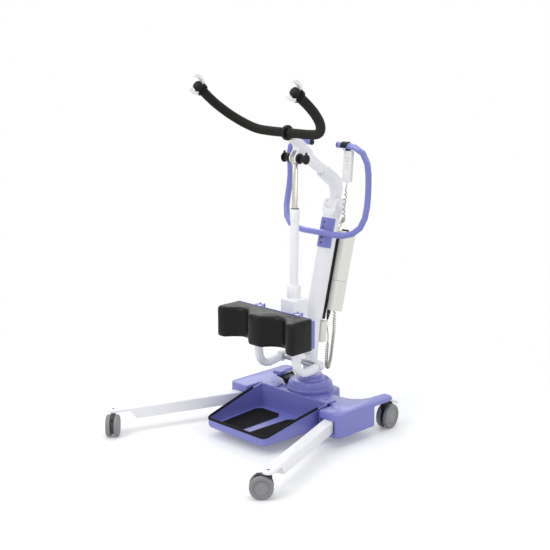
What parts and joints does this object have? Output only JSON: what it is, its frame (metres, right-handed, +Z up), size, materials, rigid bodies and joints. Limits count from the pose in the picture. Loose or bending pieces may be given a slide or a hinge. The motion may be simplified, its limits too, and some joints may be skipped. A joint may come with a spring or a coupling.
{
  "type": "patient lift",
  "caption": "Electric stand-up patient lift: leaning mast on a base with spreading legs, lifting boom with a horn-shaped spreader bar, knee pad, foot tray and push handle.",
  "frame": {"origin": "on the floor, in the middle of the footprint, with the handset cord left out", "axes": "+Z up, -Y towards the patient and the open ends of the legs, +X to the attendant's right when the attendant stands behind the mast and faces the patient"},
  "size_m": [0.8628, 0.8914, 1.2999],
  "materials": {
    "blue_paint": "satin powder coat",
    "white_paint": "satin powder coat",
    "white_plastic": "fine moulded texture",
    "cream_plastic": "fine moulded texture",
    "wheel_grey": "smooth non-marking tread",
    "dark_plastic": "fine moulded texture",
    "black_plastic": "fine moulded texture",
    "black_rubber": "ribbed, matt",
    "black_foam": "closed-cell foam skin",
    "black_upholstery": "coated upholstery over foam",
    "light_shell": "fine moulded texture",
    "bright_steel": "ground and polished",
    "plain_steel": "zinc plated",
    "red_plastic": "gloss",
    "olive_cord": "soft cord jacket"
  },
  "bodies": {
    "base": {"chassis": "blue_paint", "turret": "blue_paint", "leg_bolt_left": "plain_steel", "leg_bolt_right": "plain_steel", "mast_post": "white_paint", "mast_tube": "white_paint", "lock_housing": "cream_plastic", "mast_head": "white_paint", "actuator_bracket": "white_paint", "handle_bracket": "blue_paint", "push_handle": "blue_paint", "handle_plug_left": "black_plastic", "handle_plug_right": "black_plastic", "unit_rail": "black_plastic", "control_box": "cream_plastic", "handset": "light_shell", "handset_hook": "black_plastic", "knee_arm_left": "white_paint", "knee_arm_right": "white_paint", "knee_bolt": "plain_steel", "handset_cord": "olive_cord", "cord_plug": "dark_plastic"},
    "leg_left": {"leg_left": "white_paint"},
    "leg_right": {"leg_right": "white_paint"},
    "lever": {"spread_lever": "black_plastic", "spread_tread": "blue_paint"},
    "boom": {"boom_elbow": "white_paint", "boom_arm": "white_paint", "boom_pin": "plain_steel", "strap_pegs": "black_plastic", "horn_clamp": "black_plastic", "horn_bar": "plain_steel", "grip_left": "black_foam", "grip_right": "black_foam", "sling_hook_left": "white_plastic", "sling_hook_right": "white_plastic"},
    "actuator": {"actuator_motor": "white_plastic", "actuator_tube": "white_plastic"},
    "rod": {"actuator_rod": "bright_steel"},
    "tray": {"foot_tray": "blue_paint", "tray_trim": "black_rubber", "tray_mat_left": "black_rubber", "tray_mat_right": "black_rubber"},
    "knee_pad": {"knee_plate": "blue_paint", "knee_cushion": "black_upholstery"},
    "battery": {"battery_pack": "cream_plastic", "battery_latch": "black_plastic"},
    "stop": {"stop_button": "red_plastic"},
    "key_up": {"button_up": "dark_plastic"},
    "key_down": {"button_down": "dark_plastic"},
    "swivel_front_left": {"front_left_fork": "dark_plastic"},
    "wheels_front_left": {"front_left_wheels": "wheel_grey"},
    "swivel_front_right": {"front_right_fork": "dark_plastic"},
    "wheels_front_right": {"front_right_wheels": "wheel_grey"},
    "swivel_rear_left": {"rear_left_fork": "black_plastic"},
    "wheels_rear_left": {"rear_left_wheels": "wheel_grey"},
    "swivel_rear_right": {"rear_right_fork": "black_plastic"},
    "wheels_rear_right": {"rear_right_wheels": "wheel_grey"},
    "brake_left": {"rear_left_brake": "light_shell"},
    "brake_right": {"rear_right_brake": "light_shell"}
  },
  "joints": [
    {"name": "leg_right_swing", "type": "hinge", "parent": "base", "child": "leg_right", "pos_m": [0.215, 0.1375, 0.0745], "axis": [0, 0, 1], "range_deg": [-17, 2]},
    {"name": "leg_left_swing", "type": "hinge", "parent": "base", "child": "leg_left", "pos_m": [-0.215, 0.1375, 0.0745], "axis": [0, 0, 1], "range_deg": [-2, 17]},
    {"name": "lever_rock", "type": "hinge", "parent": "base", "child": "lever", "pos_m": [-0.1, 0.2185, 0.141], "axis": [0, -1, 0], "range_deg": [-2, 17]},
    {"name": "boom_tilt", "type": "hinge", "parent": "base", "child": "boom", "pos_m": [0, 0.36051, 0.80904], "axis": [-1, 0, 0], "range_deg": [-26, 12]},
    {"name": "actuator_tilt", "type": "hinge", "parent": "base", "child": "actuator", "pos_m": [0, 0.1435, 0.325], "axis": [-1, 0, 0], "range_deg": [-8, 5]},
    {"name": "rod_tilt", "type": "hinge", "parent": "boom", "child": "rod", "pos_m": [0, 0.15151, 1.00304], "axis": [-1, 0, 0], "range_deg": [-10, 21]},
    {"name": "tray_lift", "type": "slide", "parent": "base", "child": "tray", "axis": [0, 0, 1], "range_m": [0, 0.06]},
    {"name": "knee_pad_slide", "type": "slide", "parent": "base", "child": "knee_pad", "axis": [0, 0, 1], "range_m": [-0.06, 0]},
    {"name": "battery_lift", "type": "slide", "parent": "base", "child": "battery", "axis": [0, 0.2419, 0.9703], "range_m": [0, 0.012]},
    {"name": "stop_press", "type": "slide", "parent": "base", "child": "stop", "axis": [0, -0.9703, 0.2419], "range_m": [0, 0.004]},
    {"name": "key_up_press", "type": "slide", "parent": "base", "child": "key_up", "axis": [0, 0.9962, -0.0872], "range_m": [0, 0.0012], "stiffness_N_per_m": 300},
    {"name": "key_down_press", "type": "slide", "parent": "base", "child": "key_down", "axis": [0, 0.9962, -0.0872], "range_m": [0, 0.0012], "stiffness_N_per_m": 300},
    {"name": "front_left_swivel", "type": "hinge", "parent": "leg_left", "child": "swivel_front_left", "pos_m": [-0.40414, -0.38215, 0.09], "axis": [0, 0, 1], "continuous": true},
    {"name": "front_left_roll", "type": "hinge", "parent": "swivel_front_left", "child": "wheels_front_left", "pos_m": [-0.38858, -0.39771, 0.04], "axis": [-0.7071, -0.7071, 0], "continuous": true},
    {"name": "front_right_swivel", "type": "hinge", "parent": "leg_right", "child": "swivel_front_right", "pos_m": [0.40414, -0.38215, 0.09], "axis": [0, 0, 1], "continuous": true},
    {"name": "front_right_roll", "type": "hinge", "parent": "swivel_front_right", "child": "wheels_front_right", "pos_m": [0.38858, -0.39771, 0.04], "axis": [-0.7071, 0.7071, 0], "continuous": true},
    {"name": "rear_left_swivel", "type": "hinge", "parent": "base", "child": "swivel_rear_left", "pos_m": [-0.262, 0.3585, 0.09], "axis": [0, 0, 1], "continuous": true},
    {"name": "rear_left_roll", "type": "hinge", "parent": "swivel_rear_left", "child": "wheels_rear_left", "pos_m": [-0.25809, 0.38319, 0.046], "axis": [0.9877, -0.1564, 0], "continuous": true},
    {"name": "rear_right_swivel", "type": "hinge", "parent": "base", "child": "swivel_rear_right", "pos_m": [0.262, 0.3585, 0.09], "axis": [0, 0, 1], "continuous": true},
    {"name": "rear_right_roll", "type": "hinge", "parent": "swivel_rear_right", "child": "wheels_rear_right", "pos_m": [0.25809, 0.38319, 0.046], "axis": [0.9877, 0.1564, 0], "continuous": true},
    {"name": "left_brake_tip", "type": "hinge", "parent": "swivel_rear_left", "child": "brake_left", "pos_m": [-0.25527, 0.40097, 0.096], "axis": [-0.9877, 0.1564, 0], "range_deg": [0, 12]},
    {"name": "right_brake_tip", "type": "hinge", "parent": "swivel_rear_right", "child": "brake_right", "pos_m": [0.25527, 0.40097, 0.096], "axis": [-0.9877, -0.1564, 0], "range_deg": [0, 12]}
  ],
  "couplings": [
    {"joint": "leg_left_swing", "follows": "leg_right_swing", "ratio": -1},
    {"joint": "lever_rock", "follows": "leg_right_swing", "ratio": -1},
    {"joint": "actuator_tilt", "follows": "boom_tilt", "ratio": 0.26},
    {"joint": "rod_tilt", "follows": "boom_tilt", "ratio": -0.74}
  ]
}
